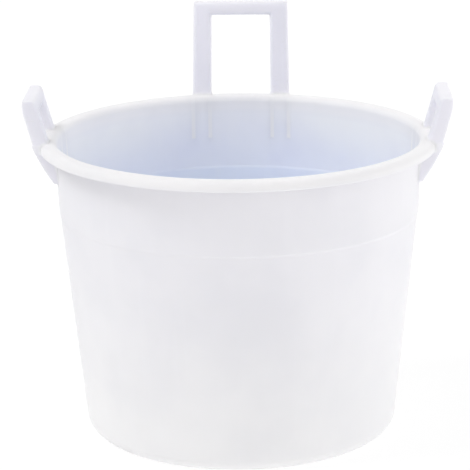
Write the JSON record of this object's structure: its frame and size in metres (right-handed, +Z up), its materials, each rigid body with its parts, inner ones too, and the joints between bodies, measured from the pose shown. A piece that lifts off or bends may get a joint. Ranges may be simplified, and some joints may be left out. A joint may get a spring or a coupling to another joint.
{
  "type": "fermenting tub",
  "caption": "Round tapered tub in natural translucent plastic, with a stepped wall, a rolled rim and fixed upright handles moulded on the sides and at the back.",
  "frame": {"origin": "on the tub's axis, in the plane of the flat foot ring that it stands on", "axes": "+Z up along the tub's axis; +Y towards the tall back handle; the side handles are at +X and -X"},
  "size_m": [0.595, 0.5974, 0.5605],
  "materials": {
    "tub_plastic": "satin, translucent natural polyethylene",
    "handle_plastic": "satin, translucent natural polyethylene"
  },
  "bodies": {
    "root": {"back_handle_grip": "handle_plastic", "back_handle_left_inner_rib": "handle_plastic", "back_handle_left_leg": "handle_plastic", "back_handle_left_outer_rib": "handle_plastic", "back_handle_right_inner_rib": "handle_plastic", "back_handle_right_leg": "handle_plastic", "back_handle_right_outer_rib": "handle_plastic", "base_corner_lower": "tub_plastic", "base_corner_upper": "tub_plastic", "collar": "tub_plastic", "floor_panel": "tub_plastic", "foot_ring": "tub_plastic", "left_handle_front_inner_rib": "handle_plastic", "left_handle_front_leg": "handle_plastic", "left_handle_front_outer_rib": "handle_plastic", "left_handle_grip": "handle_plastic", "left_handle_rear_inner_rib": "handle_plastic", "left_handle_rear_leg": "handle_plastic", "left_handle_rear_outer_rib": "handle_plastic", "lower_wall": "tub_plastic", "right_handle_front_inner_rib": "handle_plastic", "right_handle_front_leg": "handle_plastic", "right_handle_front_outer_rib": "handle_plastic", "right_handle_grip": "handle_plastic", "right_handle_rear_inner_rib": "handle_plastic", "right_handle_rear_leg": "handle_plastic", "right_handle_rear_outer_rib": "handle_plastic", "rim_crown": "tub_plastic", "rim_skirt": "tub_plastic", "wall_step": "tub_plastic"}
  },
  "joints": []
}
